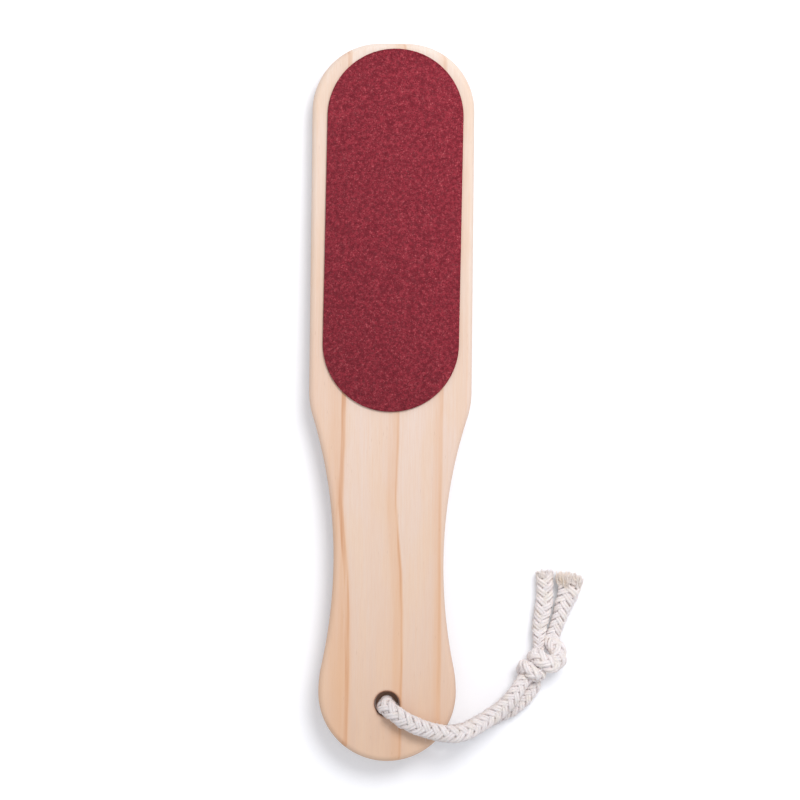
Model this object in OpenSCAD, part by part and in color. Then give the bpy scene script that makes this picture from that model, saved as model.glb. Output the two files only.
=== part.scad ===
// A wooden foot file: a one-piece paddle, an abrasive sheet glued to each side of its blade,
// and a braided cotton hanging cord through the butt, knotted with its two cut ends free.
// Millimetres. The file lies on a table: +Z is up from the table and +Y runs from butt to head.
// The origin is on the table below the middle of the paddle. The butt rides on the cord beneath it,
// so the paddle leans down a little towards its head.

/* [Paddle] */
// Length of the paddle, from head end to butt end
paddle_len = 250; // [235:1:275]
// Width of the blade
blade_w = 56.6; // [52:0.1:62]
// Length of the blade, from the head end to where it starts to narrow
blade_len = 121.8; // [105:0.1:135]
// Width of the grip at its narrowest
waist_w = 38.3; // [36:0.1:41]
// Distance from the butt end to the narrowest place of the grip
waist_from_butt = 69; // [60:0.1:80]
// Width across the round butt
butt_w = 47.8; // [44:0.1:52]
// Thickness of the wood
wood_t = 9; // [8:0.5:11]
// Radius of the two corners at the head end
head_corner_r = 23.7; // [16:0.1:25.5]
// Radius of the convex shoulder where the blade starts to narrow
shoulder_r = 29; // [15:1:45]
// Radius of the bulge between the grip and the round butt
hip_r = 44; // [35:1:70]
// Radius of the rounded edge all round the paddle
edge_r = 2; // [1:0.1:2]

/* [Abrasive sheets] */
// Width of each sheet
sheet_w = 47.4; // [40:0.1:50]
// Wood left bare between the head end and a sheet
sheet_inset = 2.1; // [2:0.1:5]
// How far a sheet runs past the start of the shoulder
sheet_past_shoulder = 7; // [0:0.1:10]
// Thickness of the adhesive film
film_t = 0.15; // [0.1:0.05:0.3]
// How far the film stays back from the cut edge of the sheet
film_inset = 0.4; // [0.2:0.1:1]
// Thickness of the backing cloth
backing_t = 0.4; // [0.3:0.05:0.6]
// Thickness of the coarse grit coat on the face
coarse_t = 0.5; // [0.35:0.05:0.8]
// Thickness of the fine grit coat on the back
fine_t = 0.35; // [0.25:0.05:0.6]

/* [Hang hole] */
// Diameter of the hang hole
hole_d = 8.8; // [8.6:0.1:12]
// Distance from the butt end to the middle of the hole
hole_from_butt = 19.8; // [19:0.1:23]
// Radius of the eased rim of the hole, the same on both faces
rim_r = 1.2; // [1:0.1:1.5]

/* [Cord] */
// Diameter of the braided cord
cord_d = 6.4; // [5.8:0.1:6.4]
// Diameter of the cord where it is drawn tight at the knot
cord_tight_d = 5; // [4.4:0.1:5.2]
// Diameter of the loosened left end
left_end_d = 6.2; // [5.4:0.1:6.6]
// Diameter of the frayed right end
right_end_d = 8.8; // [7:0.1:9]
// Room between the cord and the wood that rests on it
rest_gap = 0.35; // [0.3:0.05:0.6]

/* [Hidden] */

// Round surfaces of the exact shapes
$fn = 96;
// Extra length of a cut past the face that it opens
overrun = 1;
// How far the arc of the hole's rim would rise past the face, so that it meets the face at a slight edge
rim_rise = 0.08;
// The most that a straight facet of the outline strays from its true arc
outline_tolerance = 0.03;
// Facets across the quarter round of the paddle's edge
edge_steps = 5;
// Sides of the cord's tube
cord_sides = 8;
// Rings over which a strand narrows as it is drawn into the knot
tight_rings = 3;

wood_tint = [0.91, 0.82, 0.72];
film_tint = [0.93, 0.9, 0.8];
cloth_tint = [0.6, 0.42, 0.36];
coarse_tint = [0.57, 0.2, 0.24];
fine_tint = [0.5, 0.19, 0.22];
cord_tint = [0.86, 0.83, 0.79];
fray_tint = [0.78, 0.66, 0.52];

// The outline is a chain of tangent arcs. Two hollows meet at the waist. Each one and the bulge next to it
// turn back by the same angle, which their rise and their drop in half width give.
butt_r = butt_w / 2;
butt_y = butt_r - paddle_len / 2;
waist_y = waist_from_butt - paddle_len / 2;
shoulder_y = paddle_len / 2 - blade_len;
hip_turn = full_turn(waist_y - butt_y, (butt_w - waist_w) / 2);
shoulder_turn = full_turn(shoulder_y - waist_y, (blade_w - waist_w) / 2);
hip_hollow_r = (waist_y - butt_y) / sin(hip_turn) - hip_r;
shoulder_hollow_r = (shoulder_y - waist_y) / sin(shoulder_turn) - shoulder_r;
head_centre = [blade_w / 2 - head_corner_r, paddle_len / 2 - head_corner_r];

// The sheets lie between the head end and a line just past the start of the shoulder
sheet_top_y = paddle_len / 2 - sheet_inset;
sheet_bottom_y = shoulder_y - sheet_past_shoulder;
coarse_sheet_t = film_t + backing_t + coarse_t;
fine_sheet_t = film_t + backing_t + fine_t;

// The lean that rests the tip of the back sheet on the table and the butt on the cord
hole_y = hole_from_butt - paddle_len / 2;
rest_span = sheet_top_y - hole_y;
lean = asin((cord_d + rest_gap) / norm([rest_span, fine_sheet_t])) - atan2(fine_sheet_t, rest_span);
// Height of the middle of the wood above the table
wood_z = sheet_top_y * sin(lean) + (fine_sheet_t + wood_t / 2) * cos(lean);

// The cord's route: [x, y, z] from the point on the table that lies below the middle of the hang hole.
// It comes up through the hole, crosses the face to the right and drops over the edge to the knot.
FACE_ROUTE = [
    [0.5, -0.5, 11.2], [0.5, -0.5, 14.2], [0.9, -0.9, 17], [2.6, -2.4, 19.3], [6.6, -5.8, 20.1],
    [12, -8.6, 19.8], [17.4, -10.1, 19.6], [22, -10.7, 19.6], [26, -10.2, 19.2], [29, -8.9, 17.8],
    [32, -7.2, 15.6], [35.2, -5, 13.2], [38.8, -2.5, 11.2], [42.2, 0.4, 10], [45, 3.4, 9.6],
    [47.2, 6, 9.4], [48.8, 8.6, 8.8]];
// The other half goes down through the hole, passes under the paddle and lies on the table.
UNDER_ROUTE = [
    [0.5, -0.5, 11.2], [0.5, -0.5, 8.4], [0.9, -0.9, 5.7], [2.3, -2.1, 3.5], [4.8, -4.2, 3.2],
    [10.4, -8, 3.2], [16, -10, 3.2], [22, -10.6, 3.2], [28, -9.6, 3.2], [33.4, -7.4, 3.2],
    [38.6, -4.6, 3.2], [43, -1.8, 3.2], [46.6, 1.2, 3.2], [49.4, 4.4, 3.3], [51.6, 7.6, 3.5]];
// The two cut ends leave the knot and lie on the table side by side.
LEFT_END_ROUTE = [
    [53.4, 17.6, 8.4], [53, 22, 6.8], [53, 26.4, 4.6], [53.8, 31, 3.3], [54.8, 36, 3.2],
    [55.2, 41, 3.2], [55.2, 45.6, 3.3]];
RIGHT_END_ROUTE = [
    [57.6, 20, 5.2], [58.8, 24, 3.9], [60.1, 28.8, 3.3], [61.6, 33, 3.4], [63, 37, 3.8],
    [64, 41.4, 4.3], [64.5, 45.8, 4.7]];

// The knot: two turns of cord on a drawn-up core, and the bight that turns back into the right end
turn_heading = 56;
upper_turn_at = [54.6, 14.9, 6.5];
lower_turn_at = [51.2, 10, 6];
upper_turn_d = 13;
lower_turn_d = 11.8;
turn_cord_d = 5.8;
bight_at = [57.6, 17.8, 5.2];
bight_r = 2.6;
bight_turn = 180;

function compass(a) = [cos(a), sin(a)];
function unit(v) = v / norm(v);

// The angle by which two tangent arcs turn away and back over a rise and a drop across it
function full_turn(rise, drop) = 2 * atan2(drop, rise);

// Points of one arc without its first, as [x, y, outward x, outward y]. side is 1 where the arc bulges.
function arc_points(centre, r, a0, a1, side) =
    let (steps = max(1, ceil(abs(a1 - a0) / (2 * acos(1 - outline_tolerance / r)))))
    [for (i = [1:steps])
        let (a = a0 + (a1 - a0) * i / steps, e = compass(a))
        [centre[0] + r * e[0], centre[1] + r * e[1], side * e[0], side * e[1]]];

// The right half of the outline, from the butt end round to the head end
function right_side() = concat(
    arc_points([0, butt_y], butt_r, -90, 0, 1),
    arc_points([butt_r - hip_r, butt_y], hip_r, 0, hip_turn, 1),
    arc_points([waist_w / 2 + hip_hollow_r, waist_y], hip_hollow_r, 180 + hip_turn, 180, -1),
    arc_points([waist_w / 2 + shoulder_hollow_r, waist_y], shoulder_hollow_r, 180, 180 - shoulder_turn, -1),
    arc_points([blade_w / 2 - shoulder_r, shoulder_y], shoulder_r, -shoulder_turn, 0, 1),
    [[blade_w / 2, head_centre[1], 1, 0]],
    arc_points(head_centre, head_corner_r, 0, 90, 1));

function mirrored(p) = [-p[0], p[1], -p[2], p[3]];

// The whole outline, anticlockwise from the butt end
function outline() =
    let (right = right_side(), n = len(right))
    concat([[0, butt_y - butt_r, 0, -1]], right, [for (i = [1:n]) mirrored(right[n - i])]);

// [inset, height] of each ring of the rounded plate, from the back face up to the front face
function edge_profile() = concat(
    [for (i = [0:edge_steps]) let (a = 90 * i / edge_steps)
        [edge_r * (1 - sin(a)), edge_r * (1 - cos(a))]],
    [for (i = [0:edge_steps]) let (a = 90 * (1 - i / edge_steps))
        [edge_r * (1 - sin(a)), wood_t - edge_r * (1 - cos(a))]]);

// Side faces between rings of n points each
function side_faces(rings, n) =
    [for (i = [0:rings - 2], k = [0:n - 1])
        [i * n + k, (i + 1) * n + k, (i + 1) * n + (k + 1) % n, i * n + (k + 1) % n]];

// The same with one flat cap on the first ring and one on the last
function loft_faces(rings, n) = concat(
    [[for (k = [0:n - 1]) k]],
    side_faces(rings, n),
    [[for (k = [0:n - 1]) rings * n - 1 - k]]);

// The flat face of the paddle as strips straight across it, each between a point and its mirror image
function strip_cap(n) = concat(
    [[0, 1, n - 1]],
    [for (i = [1:(n - 1) / 2 - 1]) [i, i + 1, n - i - 1, n - i]]);

// A face turned over and moved to another ring
function turned_over(face, shift) = [for (k = [1:len(face)]) face[len(face) - k] + shift];

// The paddle's blank: every ring is the outline drawn in along its own outward directions
module rounded_plate() {
    edge = outline();
    profile = edge_profile();
    cap = strip_cap(len(edge));
    last = len(edge) * (len(profile) - 1);
    polyhedron(
        points = [for (ring = profile, p = edge)
            [p[0] - ring[0] * p[2], p[1] - ring[0] * p[3], ring[1]]],
        faces = concat(cap, side_faces(len(profile), len(edge)), [for (f = cap) turned_over(f, last)]),
        convexity = 4);
}

// The hang hole with its two eased rims, as one turned cut
module hang_hole() {
    hole_r = hole_d / 2;
    flare_r = hole_r + rim_r;
    arc_depth = rim_r - rim_rise;
    translate([0, hole_y, 0]) rotate_extrude() {
        translate([0, -overrun]) square([hole_r, wood_t + 2 * overrun]);
        difference() {
            translate([0, -overrun]) square([flare_r, arc_depth + overrun]);
            translate([flare_r, arc_depth]) circle(rim_r);
        }
        difference() {
            translate([0, wood_t - arc_depth]) square([flare_r, arc_depth + overrun]);
            translate([flare_r, wood_t - arc_depth]) circle(rim_r);
        }
    }
}

// Lays what is drawn on the wood's back face down on the table
module laid_down() translate([0, 0, wood_z]) rotate([-lean, 0, 0]) translate([0, 0, -wood_t / 2]) children();

// The outline of a sheet, straight sides and round ends, drawn in by inset
module sheet_outline(inset) {
    round_r = sheet_w / 2;
    ends = [sheet_top_y - round_r, sheet_bottom_y + round_r];
    for (y = ends) translate([0, y]) circle(round_r - inset);
    translate([inset - round_r, ends[1]]) square([sheet_w - 2 * inset, ends[0] - ends[1]]);
}

// One layer of a sheet between two heights
module sheet_layer(z0, z1, inset = 0)
    laid_down() translate([0, 0, z0]) linear_extrude(z1 - z0) sheet_outline(inset);

// The tangent at ring i of a route
function route_tangent(p, i) = unit(p[min(i + 1, len(p) - 1)] - p[max(i - 1, 0)]);

// A side direction carried along the route with no twist, level at the start
function route_side(p, i, first) =
    let (t = route_tangent(p, i), carried = i == 0 ? first : route_side(p, i - 1, first))
    unit(carried - (carried * t) * t);

// A tube along a route, with one diameter for each ring. Its flats face up and down where it lies level.
module cord_tube(route, diameters, first) {
    n = cord_sides;
    polyhedron(
        points = [for (i = [0:len(route) - 1])
            let (t = route_tangent(route, i), s = route_side(route, i, first), up = cross(s, t))
            for (k = [0:n - 1])
                let (a = 360 * (k + 1 / 2) / n)
                route[i] + diameters[i] / 2 * (cos(a) * s + sin(a) * up)],
        faces = loft_faces(len(route), n),
        convexity = 6);
}

// Moves what is drawn round the hang hole to its place on the table
module at_hole() translate([0, hole_y * cos(lean), 0]) children();

// One turn of the knot, a ring of cord drawn round the core
module knot_turn(at, outer_d)
    translate(at) rotate([0, 90, turn_heading]) rotate_extrude()
        translate([(outer_d - turn_cord_d) / 2, 0]) circle(d = turn_cord_d);

// The core between the middles of the two turns, with round ends
module knot_core() {
    reach = upper_turn_at - lower_turn_at;
    flat_reach = norm([reach[0], reach[1]]);
    for (at = [lower_turn_at, upper_turn_at]) translate(at) sphere(d = cord_tight_d);
    translate(lower_turn_at) rotate([0, atan2(flat_reach, reach[2]), atan2(reach[1], reach[0])])
        cylinder(h = norm(reach), d = cord_tight_d);
}

// The bight, half a turn that lies level
module knot_bight()
    translate(bight_at) rotate([0, 0, -bight_turn / 2]) rotate_extrude(angle = bight_turn)
        translate([bight_r, 0]) circle(d = cord_tight_d);

module wooden_paddle() color(wood_tint) laid_down() difference() {
    rounded_plate();
    hang_hole();
}

module coarse_adhesive_film() color(film_tint) sheet_layer(wood_t, wood_t + film_t, film_inset);

module coarse_backing_cloth() color(cloth_tint)
    sheet_layer(wood_t + film_t, wood_t + film_t + backing_t);

module coarse_grit_coat() color(coarse_tint)
    sheet_layer(wood_t + film_t + backing_t, wood_t + coarse_sheet_t);

module fine_adhesive_film() color(film_tint) sheet_layer(-film_t, 0, film_inset);

module fine_backing_cloth() color(cloth_tint) sheet_layer(-film_t - backing_t, -film_t);

module fine_grit_coat() color(fine_tint) sheet_layer(-fine_sheet_t, -film_t - backing_t);

// Full diameter along a strand, drawn tight over its last rings
function strand_diameters(count) =
    [for (i = [0:count - 1]) let (left = count - 1 - i)
        left >= tight_rings ? cord_d : cord_tight_d + (cord_d - cord_tight_d) * left / tight_rings];

// From the knot's tight diameter out to the diameter at the cut end
function end_diameters(count, cut_d) =
    [for (i = [0:count - 1]) cord_tight_d + (cut_d - cord_tight_d) * i / (count - 1)];

module cord_face_strand() color(cord_tint) at_hole()
    cord_tube(FACE_ROUTE, strand_diameters(len(FACE_ROUTE)), unit([1, 1, 0]));

module cord_under_strand() color(cord_tint) at_hole()
    cord_tube(UNDER_ROUTE, strand_diameters(len(UNDER_ROUTE)), unit([1, 1, 0]));

module cord_knot() color(cord_tint) at_hole() {
    knot_turn(upper_turn_at, upper_turn_d);
    knot_turn(lower_turn_at, lower_turn_d);
    knot_core();
    knot_bight();
}

module cord_left_end() color(fray_tint) at_hole()
    cord_tube(LEFT_END_ROUTE, end_diameters(len(LEFT_END_ROUTE), left_end_d), [1, 0, 0]);

module cord_right_end() color(fray_tint) at_hole()
    cord_tube(RIGHT_END_ROUTE, end_diameters(len(RIGHT_END_ROUTE), right_end_d), [1, 0, 0]);

wooden_paddle();
coarse_adhesive_film();
coarse_backing_cloth();
coarse_grit_coat();
fine_adhesive_film();
fine_backing_cloth();
fine_grit_coat();
cord_face_strand();
cord_under_strand();
cord_knot();
cord_left_end();
cord_right_end();
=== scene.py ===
import math

import bmesh
import bpy
import numpy as np
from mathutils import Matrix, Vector, kdtree


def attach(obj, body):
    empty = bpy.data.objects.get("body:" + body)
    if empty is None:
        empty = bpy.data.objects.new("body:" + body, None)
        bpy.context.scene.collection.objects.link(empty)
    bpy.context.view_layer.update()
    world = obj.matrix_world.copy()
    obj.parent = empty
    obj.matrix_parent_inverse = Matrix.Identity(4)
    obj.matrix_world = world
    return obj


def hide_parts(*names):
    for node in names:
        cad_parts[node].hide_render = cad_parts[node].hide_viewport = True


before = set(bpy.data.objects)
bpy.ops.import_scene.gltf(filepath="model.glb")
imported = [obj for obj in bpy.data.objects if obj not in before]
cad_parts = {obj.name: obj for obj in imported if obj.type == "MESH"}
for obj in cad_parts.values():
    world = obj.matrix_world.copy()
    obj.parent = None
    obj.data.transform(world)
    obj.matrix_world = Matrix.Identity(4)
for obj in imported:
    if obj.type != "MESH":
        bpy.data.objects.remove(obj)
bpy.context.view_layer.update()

# A wooden foot file, seen from above as it lies on a white table. Lengths are in millimetres until a mesh
# is made. Wood coordinates are x to the right, v from butt to head and w up from the back of the wood.
MM = 0.001
RNG = np.random.default_rng(7)

# The paddle, with the same values as the CAD source
PADDLE_LEN = 250
BLADE_W = 56.6
BLADE_LEN = 121.8
WAIST_W = 38.3
WAIST_FROM_BUTT = 69
BUTT_W = 47.8
WOOD_T = 9
HEAD_CORNER_R = 23.7
SHOULDER_R = 29
HIP_R = 44
EDGE_R = 2
HOLE_R = 4.4
HOLE_V = -105.2
RIM_R = 1.2
RIM_RISE = 0.08
LEAN = math.radians(1.46968)
WOOD_Z = 8.55036

# The sheets, from the wood outwards: film, cloth and grit coat
SHEET_W = 47.4
SHEET_TOP = 122.9
SHEET_BOTTOM = -3.8
FILM_AND_CLOTH_T = 0.55
FILM_T = 0.15
FILM_INSET = 0.4
COARSE_T = 0.5
FINE_T = 0.35
# How the coarse sheet was stuck on, as photographed: [turn, shift to the right]. The CAD has it straight
COARSE_ASKEW = (math.radians(-0.56), 0.4)

# The cord: eight strands of two yarns, plaited two over two round a core
CORD_D = 6.4
STRANDS_EACH_WAY = 4
YARN_OFFSETS = (-0.44, 0.44)
YARN_R = 0.67
BRAID_R = 2.16
BRAID_WAVE = 0.5
BRAID_PITCH = 13.2
CORE_R = 1.95
YARN_SIDES = 8
CORE_SIDES = 8
RING_STEP = 0.4
EASING_PASSES = 8
TABLE_GAP = 0.03
# Length of a yarn in which its own fibres turn by one radian
YARN_TWIST = 0.45
# Loose hairs all along the cord, and the radius from the cord's axis at which they start
HAIR_COUNT = 700
HAIR_R = 0.035
HAIR_SIDES = 3
HAIR_FROM = 2.9
HAIR_LOWEST = 0.1
# Opened yarns at the cut ends
FRAY_FROM = 3
FRAY_SIDES = 5
FRAY_LOWEST = 0.25

HOLE_ON_TABLE = np.array([0, HOLE_V * math.cos(LEAN), 0])
# Both cords start in the hole and go on through the knot to a cut end: [x, y, z] from HOLE_ON_TABLE
FACE_PATH = [
    (0, -0.8, 11.2), (0, -0.8, 14.2), (0.2, -1, 17), (2.1, -2.2, 19.1), (6.7, -5.2, 19.7),
    (12.4, -7.6, 19.5), (17.6, -9, 19.4), (22, -9.6, 19.3), (25.8, -9.4, 18), (28.8, -8.4, 16.3),
    (31.8, -6.9, 14), (35.1, -4.9, 12), (38.8, -2.5, 10.5), (42.2, 0.6, 9.8), (44.6, 3.6, 9.2),
    (46.7, 6.6, 8), (48.8, 9.6, 6.4), (51, 12.4, 5.4), (52.6, 15.4, 5), (53, 18.5, 4.8),
    (53.1, 21.9, 4.2), (53.2, 25.4, 3.7), (53.6, 28.9, 3.3), (54.3, 32.4, 3.2), (55, 37, 3.2),
    (55, 41.2, 3.3), (54.9, 44.9, 3.3)]
UNDER_PATH_START = [
    (0, -0.8, 11.2), (0, -0.9, 8.4), (0.4, -1.8, 5.8), (1.9, -3.5, 3.9), (4.8, -6, 3.2),
    (10.4, -9.2, 3.2), (16, -11, 3.2), (22, -11.4, 3.2), (27.8, -10.2, 3.2), (33.2, -7.4, 3.2),
    (38, -5.1, 3.2), (42.2, -3.2, 3.2), (45.9, -0.9, 3.2), (49.2, 2.5, 3.2), (51.3, 5.6, 3.1), (51.8, 8, 2.9),
    (50.4, 10, 2.7)]
UNDER_PATH_END = [
    (57.6, 13.6, 8.8), (59.4, 15.4, 8), (59.9, 17.6, 7.4), (59.2, 19.3, 6.8), (57.9, 20.4, 5.2),
    (57.5, 21.8, 3.7), (58.1, 23.6, 3.2), (58.9, 25.8, 3.2), (60, 28.9, 3.2), (61.1, 32.3, 3.2),
    (62.3, 35.8, 3.2), (63.4, 39, 3.3), (63.8, 44, 3.3)]

# The knot's winding: the axis through its two turns, and the angles from below round by the left
KNOT_AXIS_AT = np.array([50.6, 11.6, 6.1])
KNOT_HEADING = math.radians(38.4)
KNOT_STEP = 5.2
KNOT_FIRST_R = 2.5
KNOT_SECOND_R = 3.1
KNOT_RISE_R = 3.4
KNOT_TURN_FROM = 60
KNOT_TURN_TO = 540
KNOT_TURN_STEP = 30

# Girth and breadth along each cord, tight in the knot and loose at the ends: [mm from the hole, scale]
FACE_GIRTH = [
    (0, 1.05), (8, 1), (50, 1), (60, 0.86), (70, 0.8), (76, 0.68), (82, 0.74), (86, 0.86), (91, 0.97),
    (105, 0.98)]
FACE_BREADTH = [(0, 1), (86, 1), (91, 1.05), (100, 1.05), (105, 1.08)]
UNDER_GIRTH = [
    (0, 1), (44, 1), (56, 0.88), (72, 0.86), (92, 0.84), (97, 0.94), (104, 1.02), (114, 0.96), (118, 0.82),
    (123, 0.85), (130, 0.9), (134, 0.94), (138, 0.96)]
UNDER_BREADTH = [(0, 1), (122, 1), (126, 1.12), (130, 1.3), (134, 1.46), (138, 1.46)]

# Length of each half of the cord, in metres
FACE_LENGTH = 0.105
UNDER_LENGTH = 0.14


def wood_to_row(points):
    """Points in wood coordinates, as they lie on the table."""
    p = np.asarray(points, float)
    w = p[:, 2] - WOOD_T / 2
    y = p[:, 1] * math.cos(LEAN) + w * math.sin(LEAN)
    z = WOOD_Z - p[:, 1] * math.sin(LEAN) + w * math.cos(LEAN)
    return np.column_stack([p[:, 0], y, z])


def add_mesh(name, points, faces, smooth=True):
    """A mesh object from points in millimetres."""
    mesh = bpy.data.meshes.new(name)
    mesh.from_pydata((np.asarray(points) * MM).tolist(), [], faces)
    mesh.polygons.foreach_set("use_smooth", [smooth] * len(mesh.polygons))
    mesh.update()
    piece = bpy.data.objects.new(name, mesh)
    bpy.context.scene.collection.objects.link(piece)
    return piece


def srgb(red, green, blue):
    """A colour as it looks on screen, from 0 to 255, for a shader."""
    def linear(c):
        c /= 255
        return c / 12.92 if c <= 0.04045 else ((c + 0.055) / 1.055) ** 2.4
    return (linear(red), linear(green), linear(blue), 1)


# Camera

def make_camera():
    """Straight above, far enough away to show no side walls, turned by the paddle's slight tilt."""
    width_seen = 278.2
    distance = 900
    face_height = 13
    data = bpy.data.cameras.new("camera")
    data.lens = data.sensor_width * distance / width_seen
    camera = bpy.data.objects.new("camera", data)
    camera.location = Vector((3.4, 0.5, face_height + distance)) * MM
    camera.rotation_euler = (0, 0, math.radians(0.63))
    bpy.context.scene.collection.objects.link(camera)
    bpy.context.scene.camera = camera


# Material node helpers

class Nodes:
    """Short calls to build one material's nodes."""

    def __init__(self, name):
        self.material = bpy.data.materials.new(name)
        self.material.use_nodes = True
        self.tree = self.material.node_tree
        self.shader = self.tree.nodes["Principled BSDF"]

    def add(self, kind, **values):
        node = self.tree.nodes.new(kind)
        for key, value in values.items():
            setattr(node, key, value)
        return node

    def link(self, source, target):
        self.tree.links.new(source, target)

    def feed(self, target, value):
        """Links a socket, or sets a plain value."""
        if isinstance(value, bpy.types.NodeSocket):
            self.link(value, target)
        else:
            target.default_value = value

    def math(self, operation, a, b=0.0, clamp=False):
        node = self.add("ShaderNodeMath", operation=operation, use_clamp=clamp)
        self.feed(node.inputs[0], a)
        self.feed(node.inputs[1], b)
        return node.outputs[0]

    def scaled(self, vector, scale):
        node = self.add("ShaderNodeVectorMath", operation="MULTIPLY")
        self.link(vector, node.inputs[0])
        node.inputs[1].default_value = scale
        return node.outputs[0]

    def noise(self, vector, scale, detail=3.0, rough=0.5):
        node = self.add("ShaderNodeTexNoise")
        self.link(vector, node.inputs["Vector"])
        node.inputs["Scale"].default_value = scale
        node.inputs["Detail"].default_value = detail
        node.inputs["Roughness"].default_value = rough
        return node.outputs["Fac"]

    def distance(self, vector, point):
        node = self.add("ShaderNodeVectorMath", operation="DISTANCE")
        self.link(vector, node.inputs[0])
        node.inputs[1].default_value = tuple(point)
        return node.outputs["Value"]

    def cells(self, vector, scale, feature="F1"):
        node = self.add("ShaderNodeTexVoronoi", feature=feature)
        self.link(vector, node.inputs["Vector"])
        node.inputs["Scale"].default_value = scale
        return node

    def ramp(self, value, stops):
        """stops are (place, colour) or (place, grey)."""
        node = self.add("ShaderNodeValToRGB")
        self.link(value, node.inputs[0])
        bar = node.color_ramp.elements
        while len(bar) < len(stops):
            bar.new(1)
        for element, (place, colour) in zip(bar, stops):
            element.position = place
            element.color = colour if isinstance(colour, tuple) else (colour, colour, colour, 1)
        return node.outputs[0]

    def mix(self, factor, a, b, blend="MIX"):
        node = self.add("ShaderNodeMix", data_type="RGBA", blend_type=blend)
        self.feed(node.inputs[0], factor)
        self.feed(node.inputs[6], a)
        self.feed(node.inputs[7], b)
        return node.outputs[2]

    def object_mm(self):
        """The object's own coordinates, in millimetres."""
        coords = self.add("ShaderNodeTexCoord")
        return self.scaled(coords.outputs["Object"], (1000, 1000, 1000))

    def attribute(self, name):
        return self.add("ShaderNodeAttribute", attribute_name=name)

    def bump(self, height, distance, strength=1.0, normal=None):
        node = self.add("ShaderNodeBump")
        self.feed(node.inputs["Strength"], strength)
        node.inputs["Distance"].default_value = distance * MM
        self.link(height, node.inputs["Height"])
        if normal is not None:
            self.link(normal, node.inputs["Normal"])
        return node.outputs["Normal"]

    def finish(self, colour, roughness, normal=None, specular=0.5):
        self.feed(self.shader.inputs["Base Color"], colour)
        self.feed(self.shader.inputs["Roughness"], roughness)
        self.shader.inputs["Specular IOR Level"].default_value = specular
        if normal is not None:
            self.link(normal, self.shader.inputs["Normal"])
        return self.material


# Cords

def smooth_path(points, step):
    """A centripetal Catmull-Rom curve through the points, with rings a step apart and its kinks eased."""
    p = np.asarray(points, float)
    p = np.vstack([2 * p[0] - p[1], p, 2 * p[-1] - p[-2]])
    fine = []
    for a, b, c, d in zip(p[:-3], p[1:-2], p[2:-1], p[3:]):
        ts = np.cumsum([0] + [math.sqrt(np.linalg.norm(q - r)) for q, r in ((b, a), (c, b), (d, c))])
        t = np.linspace(ts[1], ts[2], 24, endpoint=False)[:, None]
        ab = (ts[1] - t) / (ts[1] - ts[0]) * a + (t - ts[0]) / (ts[1] - ts[0]) * b
        bc = (ts[2] - t) / (ts[2] - ts[1]) * b + (t - ts[1]) / (ts[2] - ts[1]) * c
        cd = (ts[3] - t) / (ts[3] - ts[2]) * c + (t - ts[2]) / (ts[3] - ts[2]) * d
        abc = (ts[2] - t) / (ts[2] - ts[0]) * ab + (t - ts[0]) / (ts[2] - ts[0]) * bc
        bcd = (ts[3] - t) / (ts[3] - ts[1]) * bc + (t - ts[1]) / (ts[3] - ts[1]) * cd
        fine.append((ts[2] - t) / (ts[2] - ts[1]) * abc + (t - ts[1]) / (ts[2] - ts[1]) * bcd)
    fine = np.vstack(fine + [p[-2:-1]])
    along = np.concatenate([[0], np.cumsum(np.linalg.norm(np.diff(fine, axis=0), axis=1))])
    rings = np.linspace(0, along[-1], int(along[-1] / step) + 1)
    path = np.column_stack([np.interp(rings, along, fine[:, i]) for i in range(3)])
    for _ in range(EASING_PASSES):
        path[1:-1] = (path[:-2] + 2 * path[1:-1] + path[2:]) / 4
    return path, np.concatenate([[0], np.cumsum(np.linalg.norm(np.diff(path, axis=0), axis=1))])


def carried_frames(path):
    """Tangent, side and up at each ring, carried along with no twist."""
    tangent = np.gradient(path, axis=0)
    tangent /= np.linalg.norm(tangent, axis=1)[:, None]
    side = np.empty_like(tangent)
    last = np.array([0.7, 0.7, 0])
    for i, t in enumerate(tangent):
        last = last - last.dot(t) * t
        last /= np.linalg.norm(last)
        side[i] = last
    return tangent, side, np.cross(tangent, side)


def tube_rings(centres, across, outward, radii, sides):
    """Rings of points round the centres, as one array."""
    a = 2 * math.pi * np.arange(sides) / sides
    ring = np.cos(a)[None, :, None] * across[:, None, :] + np.sin(a)[None, :, None] * outward[:, None, :]
    return (centres[:, None, :] + radii[:, None, None] * ring).reshape(-1, 3)


def tube_faces(rings, sides, first):
    """Side faces and two caps of one tube whose points start at first."""
    k = np.arange(sides)
    base = first + np.arange(rings - 1)[:, None] * sides
    a, b = base + k, base + (k + 1) % sides
    faces = np.stack([a, b, b + sides, a + sides], axis=-1).reshape(-1, 4).tolist()
    end = first + (rings - 1) * sides
    return faces + [[first + i for i in range(sides)][::-1], [end + i for i in range(sides)]]


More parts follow.
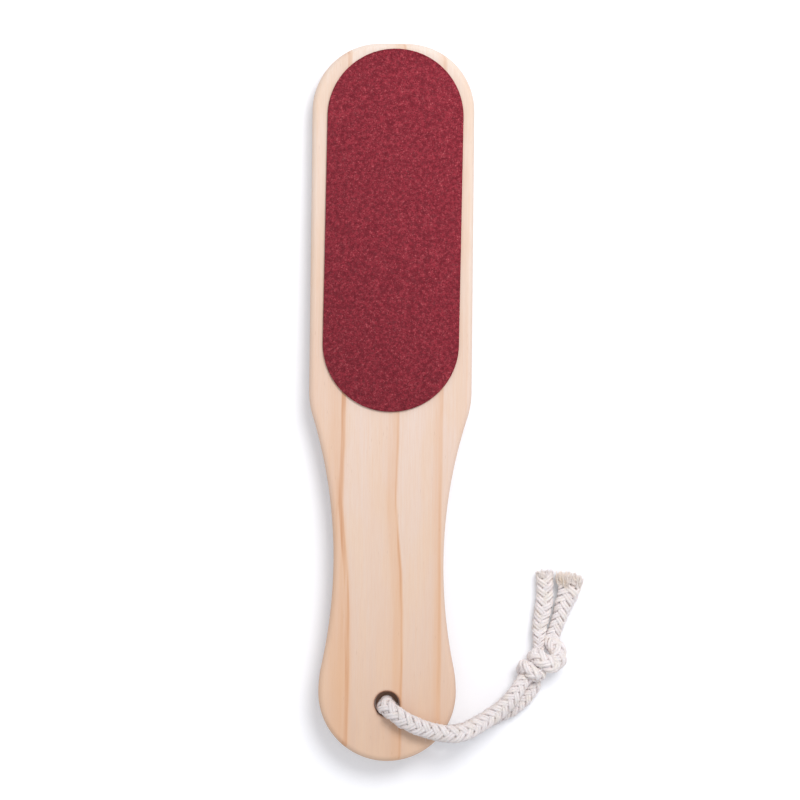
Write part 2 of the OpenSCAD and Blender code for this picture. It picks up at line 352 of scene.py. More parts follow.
class Tubes:
    """Gathers many tubes, with what their material needs to know, into one mesh."""

    def __init__(self):
        self.points, self.faces, self.lay, self.tone, self.soil = [], [], [], [], []
        self.count = 0

    def add(self, centres, across, outward, radii, sides, along, tone, soil):
        """lay turns with the yarn's own twist, so that a texture on it runs in its fibres."""
        n = len(centres)
        points = tube_rings(centres, across, outward, radii, sides)
        points[:, 2] = np.maximum(points[:, 2], TABLE_GAP)
        self.points.append(points)
        self.faces += tube_faces(n, sides, self.count)
        self.count += n * sides
        around = 2 * math.pi * np.arange(sides) / sides
        turn = around[None, :] - (along / YARN_TWIST)[:, None]
        lay = np.stack([np.cos(turn), np.sin(turn), np.broadcast_to(along[:, None] * 0.35, turn.shape)], -1)
        self.lay.append(lay.reshape(-1, 3) + tone * 50)
        self.tone.append(np.full(n * sides, tone))
        self.soil.append(np.repeat(soil, sides))

    def piece(self, name):
        obj = add_mesh(name, np.vstack(self.points), self.faces)
        for key, kind, data in (
            ("lay", "FLOAT_VECTOR", self.lay), ("tone", "FLOAT", self.tone), ("soil", "FLOAT", self.soil),
        ):
            attribute = obj.data.attributes.new(key, kind, "POINT")
            field = "vector" if kind == "FLOAT_VECTOR" else "value"
            attribute.data.foreach_set(field, np.concatenate(data).ravel().astype(np.float32))
        return obj


def slow_noise(along, reach, size):
    """Smooth wobble along a length, with one random value each reach."""
    knots = int(along[-1] / reach) + 3
    values = RNG.normal(0, size, knots)
    x = along / reach
    i = x.astype(int)
    f = x - i
    f = f * f * (3 - 2 * f)
    return values[i] * (1 - f) + values[i + 1] * f


def braid(path, along, tight, wide, roll, soil):
    """The plaited cord round a path. tight scales its height at each ring, and wide its breadth."""
    tangent, side, up = carried_frames(path)
    mean_tight = (tight[1:] + tight[:-1]) / 2
    turn = np.concatenate([[0], np.cumsum(np.diff(along) * 2 * math.pi / (BRAID_PITCH * mean_tight))])
    level = np.cross(tangent, (0, 0, 1))
    level /= np.maximum(np.linalg.norm(level, axis=1), 0.2)[:, None]
    tubes = Tubes()
    tubes.add(path, side, up, CORE_R * tight, CORE_SIDES, along, 0.5, soil)
    for strand in range(2 * STRANDS_EACH_WAY):
        way = 1 if strand % 2 == 0 else -1
        place = 2 * math.pi * (strand // 2) / STRANDS_EACH_WAY + math.pi / 8 + way * turn
        angle = place + roll
        outward = np.cos(angle)[:, None] * side + np.sin(angle)[:, None] * up
        around = np.cos(angle)[:, None] * up - np.sin(angle)[:, None] * side
        slope = math.atan2(2 * math.pi * BRAID_R, BRAID_PITCH)
        across = math.cos(slope) * around - way * math.sin(slope) * tangent
        lift = BRAID_R + way * BRAID_WAVE * np.cos(2 * (place - math.pi / 4)) + slow_noise(along, 4, 0.06)
        strand_tone = RNG.uniform(0, 1)
        for offset in YARN_OFFSETS:
            raised = lift + slow_noise(along, 2.5, 0.06)
            shift = offset * (1 + slow_noise(along, 3, 0.08))
            away = (raised * tight)[:, None] * outward + (shift * tight)[:, None] * across
            away += ((wide / tight - 1) * np.sum(away * level, axis=1))[:, None] * level
            centre = path + away
            radii = YARN_R * tight * (1 + slow_noise(along, 1.5, 0.06))
            tone = 0.6 * strand_tone + 0.4 * RNG.uniform(0, 1)
            tubes.add(centre, across, outward, radii, YARN_SIDES, along, tone, soil)
    return tubes


def add_fuzz(tubes, path, tight):
    """Loose hairs that stand off the cord all along it, but not where they would reach into the wood."""
    tangent, side, up = carried_frames(path)
    butt = np.array([0, BUTT_W / 2 - PADDLE_LEN / 2])
    for _ in range(HAIR_COUNT):
        i = RNG.integers(2, len(path) - 2)
        a = RNG.uniform(0, 2 * math.pi)
        out = math.cos(a) * side[i] + math.sin(a) * up[i]
        at_butt = np.linalg.norm(path[i][:2] - butt) < BUTT_W / 2 + CORD_D
        if at_butt and (path[i][2] < WOOD_Z + WOOD_T or out[2] < 0):
            continue
        start = path[i] + HAIR_FROM * tight[i] * out
        lean = out * RNG.uniform(0.3, 1) + tangent[i] * RNG.normal(0, 0.8) + RNG.normal(0, 0.4, 3)
        curl = RNG.normal(0, 0.5, 3)
        t = np.linspace(0, RNG.uniform(0.5, 1.5), 5)[:, None]
        hair = start + lean * t + curl * t * t
        hair[:, 2] = np.maximum(hair[:, 2], HAIR_LOWEST)
        add_thread(tubes, hair, HAIR_R, HAIR_SIDES, RNG.uniform(0, 1), 0.1)


def add_thread(tubes, line, radius, sides, tone, soil):
    """One thin thread along a line, thinner towards its end."""
    _, side, up = carried_frames(line)
    along = np.concatenate([[0], np.cumsum(np.linalg.norm(np.diff(line, axis=0), axis=1))])
    radii = radius * np.linspace(1, 0.45, len(line))
    tubes.add(line, side, up, radii, sides, along, tone, np.full(len(line), soil))


def add_fray(tubes, path, along, girth, fray):
    """Opened yarns at a cut end: they leave the braid, swell to the tuft's width and stop level. trim is
    how far they reach towards the head, from HOLE_ON_TABLE, and round is how much less on the right."""
    tangent, side, up = carried_frames(path)
    first = np.searchsorted(along, along[-1] - fray["start"])
    flat = np.cross(tangent[-1], (0, 0, 1))
    trim = HOLE_ON_TABLE[1] + fray["trim"]
    for _ in range(fray["count"]):
        i = RNG.integers(first, len(path) - 1)
        widest = FRAY_FROM * girth[i]
        r = widest * RNG.uniform(0.5, 1) ** 0.5
        a = RNG.uniform(0, 2 * math.pi)
        root = path[i] + r * math.cos(a) * side[i] + r * math.sin(a) * up[i]
        sideways = (root - path[i]).dot(flat) / widest
        aim = tangent[i] + flat * RNG.normal(0, 0.12)
        aim[2] = RNG.normal(-0.03, 0.08)
        aim /= np.linalg.norm(aim)
        top = trim - fray["round"] * max(sideways, 0) ** 2 + RNG.normal(-0.5, 0.45)
        reach = min(max((top - root[1]) / max(aim[1], 0.5), 0.6), fray["start"] + 3)
        t = np.linspace(0, 1, 11)[:, None]
        line = root + aim * reach * t + RNG.normal(0, 0.06, 3) * reach * t * t
        swell = sideways * (fray["half_width"] - widest) * min(reach / 2.5, 1)
        line += flat * swell * (1 - (1 - t) ** 5)
        line += np.sin(t * reach * RNG.uniform(1, 2) + RNG.uniform(0, 6)) * RNG.normal(0, 0.2, 3) * t
        line[:, 2] = np.maximum(line[:, 2], FRAY_LOWEST)
        tan = fray["tan"] * RNG.uniform(0.5, 1) * (1 - 0.6 * min(max(sideways + 0.4, 0), 1))
        add_thread(tubes, line, fray["radius"] * RNG.uniform(0.6, 1.2), FRAY_SIDES, RNG.uniform(0, 1), tan)


def knot_turns():
    """The winding of the knot, as points at even steps of its turn."""
    heading = np.array([math.cos(KNOT_HEADING), math.sin(KNOT_HEADING), 0])
    left = np.array([-math.sin(KNOT_HEADING), math.cos(KNOT_HEADING), 0])
    points = []
    for degrees in range(KNOT_TURN_FROM, KNOT_TURN_TO + 1, KNOT_TURN_STEP):
        a = math.radians(degrees)
        share = (degrees - 180) / 360
        side_r = KNOT_FIRST_R + (KNOT_SECOND_R - KNOT_FIRST_R) * share
        points.append(tuple(
            KNOT_AXIS_AT + heading * KNOT_STEP * share + left * side_r * math.sin(a)
            + np.array([0, 0, -math.copysign(KNOT_RISE_R * abs(math.cos(a)) ** 0.7, math.cos(a))])))
    return points


def make_cord(name, route, girth_at, breadth_at, roll_over, fray):
    """One half of the cord, from the hole through the knot to its cut end. roll_over is where its plait
    turns by a quarter."""
    path, along = smooth_path(route, RING_STEP)
    path = path + HOLE_ON_TABLE
    tight = np.interp(along, *zip(*girth_at))
    wide = tight * np.interp(along, *zip(*breadth_at))
    share = np.clip((along - roll_over[0]) / (roll_over[1] - roll_over[0]), 0, 1)
    roll = math.pi / 2 * share * share * (3 - 2 * share) + slow_noise(along, 22, 0.22)
    soil = np.clip(1 - (along[-1] - along) / 5, 0, 1) * fray["tan"]
    cord = braid(path, along, tight, wide, roll, soil).piece(name)
    loose = Tubes()
    add_fuzz(loose, path, tight)
    add_fray(loose, path, along, wide, fray)
    return cord, loose.piece(name + "_loose_yarn"), path


# Wood

def arc(centre, r, a0, a1, side, step=1.5, chord=1.5):
    """Points of an arc without its first, no more than a step in degrees and a chord apart, each with its
    outward direction."""
    n = max(2, math.ceil(abs(a1 - a0) / step), math.ceil(abs(math.radians(a1 - a0)) * r / chord))
    out = []
    for i in range(1, n + 1):
        a = math.radians(a0 + (a1 - a0) * i / n)
        e = (math.cos(a), math.sin(a))
        out.append((centre[0] + r * e[0], centre[1] + r * e[1], side * e[0], side * e[1]))
    return out


def outline(blade_points=20):
    """The whole outline, anticlockwise from the butt end: [x, v, outward x, outward v]."""
    butt_r = BUTT_W / 2
    butt_v = butt_r - PADDLE_LEN / 2
    waist_v = WAIST_FROM_BUTT - PADDLE_LEN / 2
    shoulder_v = PADDLE_LEN / 2 - BLADE_LEN
    hip = 2 * math.atan2((BUTT_W - WAIST_W) / 2, waist_v - butt_v)
    shoulder = 2 * math.atan2((BLADE_W - WAIST_W) / 2, shoulder_v - waist_v)
    hip_hollow = (waist_v - butt_v) / math.sin(hip) - HIP_R
    shoulder_hollow = (shoulder_v - waist_v) / math.sin(shoulder) - SHOULDER_R
    hip, shoulder = math.degrees(hip), math.degrees(shoulder)
    head = (BLADE_W / 2 - HEAD_CORNER_R, PADDLE_LEN / 2 - HEAD_CORNER_R)
    blade = np.linspace(shoulder_v, head[1], blade_points + 1)[1:]
    right = (
        arc((0, butt_v), butt_r, -90, 0, 1)
        + arc((butt_r - HIP_R, butt_v), HIP_R, 0, hip, 1)
        + arc((WAIST_W / 2 + hip_hollow, waist_v), hip_hollow, 180 + hip, 180, -1)
        + arc((WAIST_W / 2 + shoulder_hollow, waist_v), shoulder_hollow, 180, 180 - shoulder, -1)
        + arc((BLADE_W / 2 - SHOULDER_R, shoulder_v), SHOULDER_R, -shoulder, 0, 1)
        + [(BLADE_W / 2, v, 1, 0) for v in blade]
        + arc(head, HEAD_CORNER_R, 0, 90, 1))
    left = [(-x, v, -ox, ov) for x, v, ox, ov in reversed(right)]
    return np.array([(0, butt_v - butt_r, 0, -1)] + right + left)


def edge_profile(steps=9, support=0.25):
    """[inset, height] of each ring from the back face to the front, with a flat ring inside each edge."""
    quarter = [math.radians(90 * i / steps) for i in range(steps + 1)]
    low = [(EDGE_R * (1 - math.sin(a)), EDGE_R * (1 - math.cos(a))) for a in quarter]
    high = [(inset, WOOD_T - height) for inset, height in reversed(low)]
    return [(EDGE_R + support, 0)] + low + high + [(EDGE_R + support, WOOD_T)]


def hole_profile(steps=8, support=0.25):
    """[radius, height] of each ring of the hang hole, from the back face to the front."""
    depth = RIM_R - RIM_RISE
    opening = HOLE_R + RIM_R - math.sqrt(RIM_R ** 2 - depth ** 2)
    first = math.acos((HOLE_R + RIM_R - opening) / RIM_R)
    low = []
    for i in range(steps + 1):
        a = first * (1 - i / steps)
        low.append((HOLE_R + RIM_R - RIM_R * math.cos(a), depth - RIM_R * math.sin(a)))
    high = [(r, WOOD_T - w) for r, w in reversed(low)]
    return [(opening + support, 0)] + low + high + [(opening + support, WOOD_T)]


def wall_faces(rings, n, first, flip):
    """Faces between closed rings of n points."""
    faces = []
    for i in range(rings - 1):
        for k in range(n):
            a, b = first + i * n + k, first + i * n + (k + 1) % n
            face = [a, b, b + n, a + n]
            faces.append(face[::-1] if flip else face)
    return faces


def make_wood(turns=64):
    """The paddle in one piece: rounded edge, flat faces and the eased hang hole, which has turns sides."""
    edge = outline()
    rings = edge_profile()
    points = [(p[0] - inset * p[2], p[1] - inset * p[3], w) for inset, w in rings for p in edge]
    faces = wall_faces(len(rings), len(edge), 0, False)
    hole = hole_profile()
    first = len(points)
    for r, w in hole:
        for k in range(turns):
            a = 2 * math.pi * k / turns
            points.append((r * math.cos(a), HOLE_V + r * math.sin(a), w))
    faces += wall_faces(len(hole), turns, first, True)
    piece = add_mesh("wood", wood_to_row(points), faces)
    fill_faces(piece, len(edge), len(rings), turns, first, len(hole))
    return piece


def fill_faces(piece, edge_count, edge_rings, turns, hole_first, hole_rings):
    """Fills each flat face between the edge's inner ring and the hole's outer ring."""
    bm = bmesh.new()
    bm.from_mesh(piece.data)
    bm.verts.ensure_lookup_table()
    for outer, inner in (
        (0, hole_first),
        ((edge_rings - 1) * edge_count, hole_first + (hole_rings - 1) * turns),
    ):
        edges = []
        for start, count in ((outer, edge_count), (inner, turns)):
            ring = [bm.verts[start + k] for k in range(count)]
            edges += [bm.edges.get((ring[k], ring[(k + 1) % count])) for k in range(count)]
        bmesh.ops.triangle_fill(bm, use_beauty=True, use_dissolve=False, edges=edges)
    bmesh.ops.recalc_face_normals(bm, faces=bm.faces)
    for face in bm.faces:
        face.smooth = True
    bm.to_mesh(piece.data)
    bm.free()


# Abrasive sheets

def half_width(v):
    """Half the sheet's width at v, zero at its two ends."""
    r = SHEET_W / 2
    past = np.maximum(np.maximum(v - (SHEET_TOP - r), (SHEET_BOTTOM + r) - v), 0)
    return np.sqrt(np.maximum(r * r - past * past, 0))


def grain_heights(xy, spacing, spread):
    """The height of each point on a bed of grains: domed cells, each at its own height, from 0 down."""
    low, high = xy.min(axis=0) - spacing, xy.max(axis=0) + spacing
    count = int((high[0] - low[0]) * (high[1] - low[1]) / spacing ** 2)
    grains = RNG.uniform(low, high, (count, 2))
    own = RNG.uniform(0, 1, count) ** 1.6
    tree = kdtree.KDTree(count)
    for i, g in enumerate(grains):
        tree.insert((g[0], g[1], 0), i)
    tree.balance()
    out = np.empty(len(xy))
    for i, p in enumerate(xy):
        _, index, distance = tree.find((p[0], p[1], 0))
        out[i] = -spread * (own[index] * 0.55 + 0.45 * min(1, (distance / spacing) ** 2 * 1.6))
    return out


def stuck_on(points, askew):
    """Points of a sheet, turned about its middle and shifted as it was stuck on."""
    turn, shift = askew
    p = np.array(points, float)
    middle = (SHEET_TOP + SHEET_BOTTOM) / 2
    x, v = p[:, 0].copy(), p[:, 1] - middle
    p[:, 0] = x * math.cos(turn) - v * math.sin(turn) + shift
    p[:, 1] = x * math.sin(turn) + v * math.cos(turn) + middle
    return p


def make_layer(name, inset, low, high, bevel, askew):
    """A flat layer under a grit coat, with a small bevel at its cut edge."""
    r = SHEET_W / 2 - inset
    ends = ((SHEET_TOP - SHEET_W / 2, 0), (SHEET_BOTTOM + SHEET_W / 2, 180))
    edge = [
        (math.cos(math.radians(start + a)), math.sin(math.radians(start + a)), v)
        for v, start in ends for a in range(0, 181, 3)]
    rings = [(bevel, low), (0, low + bevel), (0, high - bevel), (bevel, high)]
    points = [((r - b) * x, v + (r - b) * s, w) for b, w in rings for x, s, v in edge]
    n = len(edge)
    faces = wall_faces(len(rings), n, 0, False)
    faces += [list(range(n))[::-1], [3 * n + k for k in range(n)]]
    return add_mesh(name, wood_to_row(stuck_on(points, askew)), faces, smooth=False)


def make_grit(name, base, thickness, step, spacing, spread, askew=(0, 0)):
    """A coat of grains. base is its height at the cloth, and thickness is negative on the back. Its rows
    lie closer together at the round ends, whose last points are cut off."""
    closer = 0.25
    cut_off = 0.02
    rows = int((SHEET_TOP - SHEET_BOTTOM) / step)
    cols = int(SHEET_W / step)
    ease = 0.5 - 0.5 * np.cos(np.linspace(0, math.pi, rows + 1))
    straight = np.linspace(0, 1, rows + 1)
    share = closer * ease + (1 - closer) * straight
    v = SHEET_BOTTOM + (SHEET_TOP - SHEET_BOTTOM) * share
    v[0] += cut_off
    v[-1] -= cut_off
    x = half_width(v)[:, None] * np.linspace(-1, 1, cols + 1)[None, :]
    xy = np.column_stack([x.ravel(), np.repeat(v, cols + 1)])
    heights = grain_heights(xy, spacing, spread)
    sign = 1 if thickness > 0 else -1
    top = np.column_stack([xy, base + thickness + sign * heights])
    n = cols + 1
    a = (np.arange(rows)[:, None] * n + np.arange(cols)[None, :]).ravel()
    faces = np.column_stack([a, a + 1, a + 1 + n, a + n]).tolist()
    rim = list(range(n)) + [i * n + cols for i in range(1, rows + 1)]
    rim += [rows * n + i for i in range(cols - 1, -1, -1)] + [i * n for i in range(rows - 1, 0, -1)]
    skirt = np.column_stack([xy[rim], np.full(len(rim), base)])
    first = len(top)
    m = len(rim)
    faces += [[rim[k], first + k, first + (k + 1) % m, rim[(k + 1) % m]] for k in range(m)]
    faces.append([first + k for k in range(m)][::-1])
    if sign < 0:
        faces = [f[::-1] for f in faces]
    piece = add_mesh(name, wood_to_row(stuck_on(np.vstack([top, skirt]), askew)), faces)
    for polygon in piece.data.polygons[-m - 1:]:
        polygon.use_smooth = False
    return piece


# Materials

def ring_place(n, place, along):
    """Where a point lies across the rings: its distance from the middle, with the lines' bends as
    photographed, and their slope through the thickness of the wood."""
    parts = n.add("ShaderNodeSeparateXYZ")
    n.link(place, parts.inputs[0])
    x, _, w = parts.outputs
    slow = n.noise(n.scaled(place, (0.03, 0.018, 0.03)), 1.0, 3.0)
    wander = n.math("MULTIPLY", n.math("SUBTRACT", slow, 0.5), 1.2)
    drift = n.ramp(along, [
        (at / PADDLE_LEN + 0.5, (shift + 1) / 4) for at, shift in (
            (-125, 2), (-90, 2.3), (-74, 2.2), (-60, 1.6), (-50, 0.7), (-36, -0.4), (-14, 0), (125, 1.2))])
    held = n.ramp(n.math("DIVIDE", x, 20), [(0.25, 1.0), (0.9, 0.1)])
    drift = n.math("MULTIPLY", n.math("SUBTRACT", n.math("MULTIPLY", drift, 4), 1), held)
    ring = n.math("SUBTRACT", n.math("ADD", x, wander), drift)
    below_face = n.math("SUBTRACT", WOOD_Z + WOOD_T / 2, w)
    return n.math("ADD", ring, n.math("MULTIPLY", below_face, 0.5))


def late_wood(n, ring, place):
    """How much of the dark late wood there is across the rings, from 0 to 1."""
    span = 64
    late = n.ramp(n.math("ADD", n.math("DIVIDE", ring, span), 0.5), [
        (at / span + 0.5, dark) for at, dark in (
            (-31, 0.5), (-24, 0.35), (-19.5, 0.6), (-17.4, 0.7), (-17, 1.0), (-15.8, 1.0), (-15.4, 0.3),
            (-14.4, 0.0), (-10, 0.0), (-4, 0.1), (-0.9, 0.2), (0.1, 0.5), (2.0, 0.62), (2.7, 0.88),
            (3.1, 0.66), (3.5, 0.0), (9, 0.0), (14.8, 0.15), (16.6, 0.5), (17.6, 0.75), (18.2, 0.7),
            (18.7, 0.1), (23, 0.1), (26.6, 0.35), (27.1, 0.1), (31, 0.2))])
    uneven = n.noise(n.scaled(place, (0.5, 0.02, 0.5)), 1.0, 3.0)
    return n.math("MULTIPLY", late, n.ramp(uneven, [(0.3, 0.6), (0.6, 1.0)]))


def early_wood(n, along, place):
    """The pale wood between the lines, with clouds and fibres, yellower towards the butt partly as painted
    light.
    """
    # Partly painted light: paler towards the head, where the lamp is, and darker towards the butt; partly the
    # wood's own tone
    early = n.ramp(along, [
        (at / PADDLE_LEN + 0.5, srgb(*colour)) for at, colour in (
            (-125, (214, 182, 160)), (-92, (221, 194, 177)), (-50, (225, 202, 188)), (-10, (229, 208, 197)),
            (60, (235, 219, 208)), (120, (238, 226, 218)))])
    cloudy = n.noise(n.scaled(place, (0.14, 0.035, 0.14)), 1.0, 3.0)
    early = n.mix(n.ramp(cloudy, [(0.45, 0.0), (0.62, 0.3)]), early, srgb(229, 199, 172))
    fibres = n.noise(n.scaled(place, (2.4, 0.03, 2.4)), 1.0, 4.0, 0.6)
    return n.mix(n.ramp(fibres, [(0.35, 0.0), (0.7, 0.3)]), early, srgb(228, 192, 160))


def wood_material():
    n = Nodes("pale_wood")
    mapping = n.add("ShaderNodeMapping", vector_type="POINT")
    mapping.inputs["Rotation"].default_value = (LEAN, 0, 0)
    n.link(n.object_mm(), mapping.inputs["Vector"])
    place = mapping.outputs["Vector"]
    parts = n.add("ShaderNodeSeparateXYZ")
    n.link(place, parts.inputs[0])
    along = n.math("DIVIDE", n.math("ADD", parts.outputs[1], PADDLE_LEN / 2), PADDLE_LEN)
    late = late_wood(n, ring_place(n, place, along), place)
    strength = n.ramp(along, [(0.0, 0.65), (0.1, 1.0), (0.5, 0.8), (1.0, 0.5)])
    colour = n.mix(n.math("MULTIPLY", late, strength), early_wood(n, along, place), srgb(219, 170, 130))
    core = n.ramp(late, [(0.62, 0.0), (0.95, 0.7)])
    colour = n.mix(n.math("MULTIPLY", core, strength), colour, srgb(193, 134, 98))
    hairs = n.noise(n.scaled(place, (11, 0.16, 11)), 1.0, 3.0, 0.6)
    colour = n.mix(n.ramp(hairs, [(0.42, 0.0), (0.72, 0.3)]), colour, srgb(212, 168, 136))
    cells = n.cells(n.scaled(place, (0.9, 0.09, 0.9)), 1.0)
    fleck = n.ramp(cells.outputs["Distance"], [(0.0, 0.4), (0.09, 0.0)])
    colour = n.mix(fleck, colour, srgb(160, 112, 84))
    # The hang hole's wall is darker and redder: partly its end grain, partly painted shade inside the hole
    from_axis = n.distance(n.scaled(place, (1, 1, 0)), (0, HOLE_V, 0))
    end_grain_and_shade = n.ramp(n.math("DIVIDE", from_axis, 2 * HOLE_R), [(0.5, 0.8), (0.53, 0.0)])
    colour = n.mix(end_grain_and_shade, colour, srgb(176, 108, 74))
    height = n.math("ADD", n.math("MULTIPLY", hairs, 0.7), n.math("MULTIPLY", late, -0.25))
    rough = n.math("ADD", 0.55, n.math("MULTIPLY", hairs, 0.15))
    return n.finish(colour, rough, n.bump(height, 0.05, 0.5), 0.3)


def grit_material(name, dark, middle, light, grain_mm):
    """Grains of one colour in resin, each with its own shade, with painted shade in the gaps between them.
    The coat is painted a little paler towards the head and the right, as painted light from the lamp's side."""
    n = Nodes(name)
    place = n.object_mm()
    cell = n.cells(place, 1 / grain_mm)
    own = n.add("ShaderNodeSeparateColor")
    n.link(cell.outputs["Color"], own.inputs[0])
    shade = n.ramp(own.outputs[0], [(0.0, dark), (0.35, middle), (0.85, middle), (1.0, light)])
    patchy = n.noise(place, 0.75, 3.0, 0.6)
    colour = n.mix(n.ramp(patchy, [(0.38, 0.0), (0.62, 0.85)]), shade, dark)
    # Painted shade: the gaps between grains are darkened
    shade_between_grains = n.ramp(cell.outputs["Distance"], [(0.45, 0.0), (0.85, 1.0)])
    colour = n.mix(n.math("MULTIPLY", shade_between_grains, 0.45), colour, srgb(89, 24, 34))
    parts = n.add("ShaderNodeSeparateXYZ")
    n.link(place, parts.inputs[0])
    x, y, _ = parts.outputs
    # Painted light: the coat is paler towards the head and the right, where the lamp is
    painted_light_falloff = n.math("ADD", n.math("MULTIPLY", x, 0.0025), n.math("MULTIPLY", y, 0.0015))
    colour = n.mix(1.0, colour, n.math("ADD", painted_light_falloff, 0.8, clamp=True), "MULTIPLY")
    height = n.math("SUBTRACT", own.outputs[1], cell.outputs["Distance"])
    normal = n.bump(height, 0.12, 0.8)
    rough = n.ramp(own.outputs[2], [(0.0, 0.35), (0.3, 0.75), (1.0, 0.9)])
    return n.finish(colour, rough, normal, 0.2)


def cloth_material():
    n = Nodes("backing_cloth")
    place = n.object_mm()
    wave_x = n.add("ShaderNodeTexWave", bands_direction="X")
    wave_y = n.add("ShaderNodeTexWave", bands_direction="Y")
    for wave in (wave_x, wave_y):
        wave.inputs["Scale"].default_value = 0.8
        n.link(place, wave.inputs["Vector"])
    weave = n.math("MAXIMUM", wave_x.outputs["Fac"], wave_y.outputs["Fac"])
    colour = n.mix(weave, srgb(122, 70, 62), srgb(164, 110, 92))
    return n.finish(colour, 0.85, n.bump(weave, 0.05, 0.6), 0.3)


def film_material():
    n = Nodes("adhesive")
    mottle = n.noise(n.object_mm(), 1.4, 3.0)
    colour = n.mix(mottle, srgb(236, 224, 196), srgb(222, 204, 168))
    return n.finish(colour, 0.35, n.bump(mottle, 0.02, 0.5), 0.5)


def cotton_material():
    n = Nodes("cotton_cord")
    lay = n.attribute("lay").outputs["Vector"]
    tone = n.attribute("tone").outputs["Fac"]
    soil = n.attribute("soil").outputs["Fac"]
    streaks = n.noise(lay, 2.6, 4.0, 0.65)
    place = n.object_mm()
    patch = n.noise(place, 0.35, 2.0)
    base = n.mix(tone, srgb(250, 242, 241), srgb(239, 229, 229))
    base = n.mix(n.ramp(patch, [(0.45, 0.0), (0.68, 0.45)]), base, srgb(238, 226, 210))
    braided = n.math("SUBTRACT", 1, soil, clamp=True)
    dark_fibres = n.math("MULTIPLY", n.ramp(streaks, [(0.35, 0.3), (0.55, 0.0)]), braided)
    base = n.mix(dark_fibres, base, srgb(204, 186, 182))
    fleck = n.ramp(n.cells(place, 0.5).outputs["Distance"], [(0.0, 0.5), (0.06, 0.0)])
    base = n.mix(fleck, base, srgb(160, 128, 100))
    # The cord is greyer near the hang hole: fully within about 24 mm, fading out by 52 mm
    greyer_near_hole = n.ramp(n.math("DIVIDE", n.distance(place, HOLE_ON_TABLE), 80), [(0.3, 1.0), (0.65, 0.0)])
    base = n.mix(n.math("MULTIPLY", greyer_near_hole, 0.5), base, srgb(214, 206, 206))
    worn = n.math("MULTIPLY", soil, n.ramp(patch, [(0.25, 0.5), (0.7, 1.0)]))
    base = n.mix(n.math("MULTIPLY", worn, 0.85), base, srgb(255, 235, 210))
    n.shader.inputs["Subsurface Weight"].default_value = 0.2
    n.shader.inputs["Subsurface Radius"].default_value = (1, 0.8, 0.7)
    n.shader.inputs["Subsurface Scale"].default_value = 1.2 * MM
    n.shader.inputs["Sheen Weight"].default_value = 0.25
    n.shader.inputs["Sheen Roughness"].default_value = 0.6
    return n.finish(base, 0.9, n.bump(streaks, 0.12, n.math("MULTIPLY", braided, 0.9)), 0.2)


# Table and light

def make_floor():
    """A white table that keeps the object's shadow. The camera sees it lifted to white, all the more far from
    the object, but not in the small spot under the hang hole, which is painted dark brown as painted shade
    seen through the hole."""
    side_in_metres = 6
    bpy.ops.mesh.primitive_plane_add(size=side_in_metres)
    floor = bpy.context.object
    floor.name = "table"
    n = Nodes("table_white")
    n.shader.inputs["Roughness"].default_value = 0.9
    n.shader.inputs["Specular IOR Level"].default_value = 0.1
    path = n.add("ShaderNodeLightPath")
    seen = n.math("MAXIMUM", path.outputs["Is Camera Ray"], path.outputs["Is Glossy Ray"])
    place = n.object_mm()
    # Painted shade: a dark brown spot under the hang hole, left without the camera's lift, seen through the
    # hole
    off_painted_spot = n.ramp(n.math("DIVIDE", n.distance(place, HOLE_ON_TABLE - (0, 1.2, 0)), 100), [
        (0.039, 0.0), (0.05, 1.0)])
    shade = n.mix(off_painted_spot, srgb(192, 164, 148), (0.86, 0.867, 0.905, 1))
    n.link(shade, n.shader.inputs["Base Color"])
    n.shader.inputs["Emission Color"].default_value = (1, 1, 1, 1)
    far = n.ramp(n.math("DIVIDE", n.distance(place, (0, 0, 0)), 1000), [(0.17, 0.18), (0.42, 1.0)])
    lift = n.math("MULTIPLY", n.math("MULTIPLY", seen, far), off_painted_spot)
    n.link(lift, n.shader.inputs["Emission Strength"])
    floor.data.materials.append(n.material)


def add_lamp(name, place, size, power, tint):
    data = bpy.data.lights.new(name, "AREA")
    data.shape = "DISK"
    data.size = size
    data.energy = power
    data.color = tint
    lamp = bpy.data.objects.new(name, data)
    lamp.location = place
    lamp.rotation_euler = (-Vector(place)).to_track_quat("-Z", "Y").to_euler()
    bpy.context.scene.collection.objects.link(lamp)


def light_scene():
    """One broad lamp from the upper right and an even white room."""
    add_lamp("key", (0.25, 0.39, 0.86), 0.42, 5.4, (1, 0.99, 0.975))
    world = bpy.data.worlds.new("room")
    world.use_nodes = True
    tree = world.node_tree
    room = tree.nodes["Background"]
    room.inputs["Color"].default_value = (0.95, 0.97, 1, 1)
    room.inputs["Strength"].default_value = 0.65
    white = tree.nodes.new("ShaderNodeBackground")
    white.inputs["Strength"].default_value = 1
    white.inputs["Color"].default_value = (1, 1, 1, 1)
    path = tree.nodes.new("ShaderNodeLightPath")
    either = tree.nodes.new("ShaderNodeMath")
    either.operation = "MAXIMUM"
    tree.links.new(path.outputs["Is Camera Ray"], either.inputs[0])
    tree.links.new(path.outputs["Is Glossy Ray"], either.inputs[1])
    mix = tree.nodes.new("ShaderNodeMixShader")
    tree.links.new(either.outputs[0], mix.inputs[0])
    tree.links.new(room.outputs[0], mix.inputs[1])
    tree.links.new(white.outputs[0], mix.inputs[2])
    tree.links.new(mix.outputs[0], tree.nodes["World Output"].inputs["Surface"])
    bpy.context.scene.world = world
    bpy.context.scene.view_settings.view_transform = "Standard"


# Assembly

def put(piece, body, material):
    """Gives a new piece its material and its body."""
    piece.data.materials.clear()
    piece.data.materials.append(material)
    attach(piece, body)


def redress(node, material):
    """Gives a CAD node's own object a better material."""
    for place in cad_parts[node].material_slots:
        place.material = material


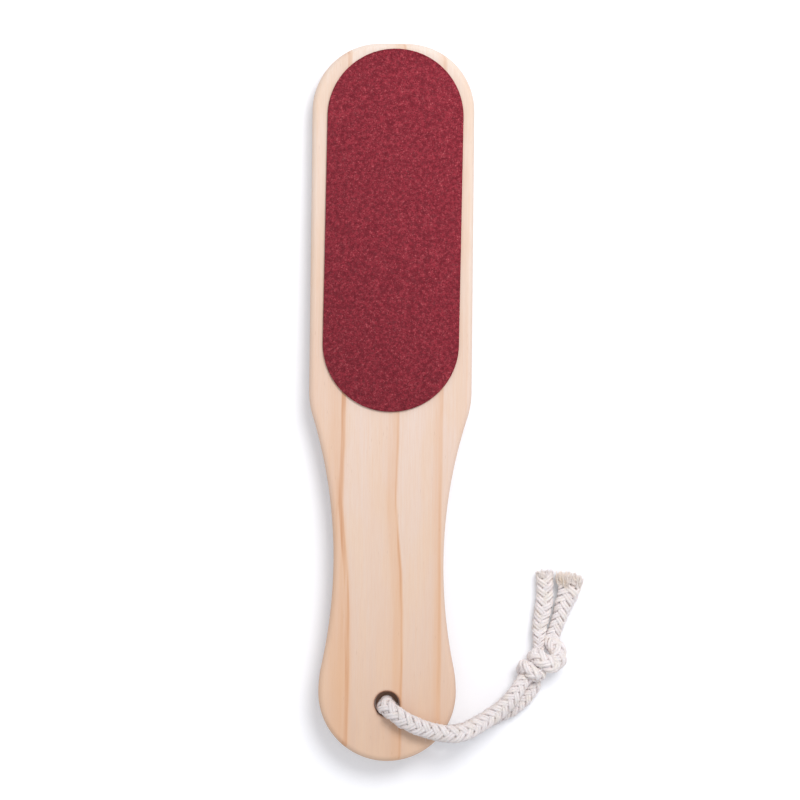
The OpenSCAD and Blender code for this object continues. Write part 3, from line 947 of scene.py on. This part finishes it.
def add_cords():
    cotton = cotton_material()
    under_route = UNDER_PATH_START + knot_turns() + UNDER_PATH_END
    square_cut = {
        "start": 1.4, "half_width": 3.1, "trim": 46.1, "round": 0, "count": 240, "radius": 0.16, "tan": 0.3}
    tuft = {
        "start": 3.4, "half_width": 4.9, "trim": 45.6, "round": 2, "count": 420, "radius": 0.16, "tan": 0.8}
    for name, route, girth_at, breadth_at, roll_over, fray, nodes, length in (
        ("cord_over", FACE_PATH, FACE_GIRTH, FACE_BREADTH, (62, 80), square_cut,
         ("cord_face_strand", "cord_knot", "cord_left_end"), FACE_LENGTH),
        ("cord_below", under_route, UNDER_GIRTH, UNDER_BREADTH, (56, 100), tuft,
         ("cord_under_strand", "cord_right_end"), UNDER_LENGTH),
    ):
        piece, loose, path = make_cord(name, route, girth_at, breadth_at, roll_over, fray)
        for made in (piece, loose):
            put(made, "hang_cord", cotton)
        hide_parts(*nodes)


def add_paddle():
    wood = make_wood()
    put(wood, "paddle", wood_material())
    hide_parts("wooden_paddle")
    coarse = make_grit("coarse_grit", WOOD_T + FILM_AND_CLOTH_T, COARSE_T, 0.34, 0.42, 0.3, COARSE_ASKEW)
    put(coarse, "paddle", grit_material(
        "coarse_grit", srgb(119, 29, 43), srgb(166, 53, 67), srgb(198, 92, 100), 0.34))
    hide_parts("coarse_grit_coat")
    fine = make_grit("fine_grit", -FILM_AND_CLOTH_T, -FINE_T, 0.4, 0.3, 0.14)
    put(fine, "paddle", grit_material(
        "fine_grit", srgb(113, 32, 43), srgb(143, 47, 57), srgb(170, 81, 85), 0.2))
    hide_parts("fine_grit_coat")
    cloth, film = cloth_material(), film_material()
    for name, inset, low, high, bevel, slot, material, node in (
        ("coarse_cloth", 0, WOOD_T + FILM_T, WOOD_T + FILM_AND_CLOTH_T, 0.08, "backing_cloth", cloth,
         "coarse_backing_cloth"),
        ("coarse_film", FILM_INSET, WOOD_T, WOOD_T + FILM_T, 0.04, "adhesive", film, "coarse_adhesive_film"),
    ):
        layer = make_layer(name, inset, low, high, bevel, COARSE_ASKEW)
        put(layer, "paddle", material)
        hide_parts(node)
    redress("fine_backing_cloth", cloth)
    redress("fine_adhesive_film", film)


make_camera()
add_cords()
add_paddle()
make_floor()
light_scene()
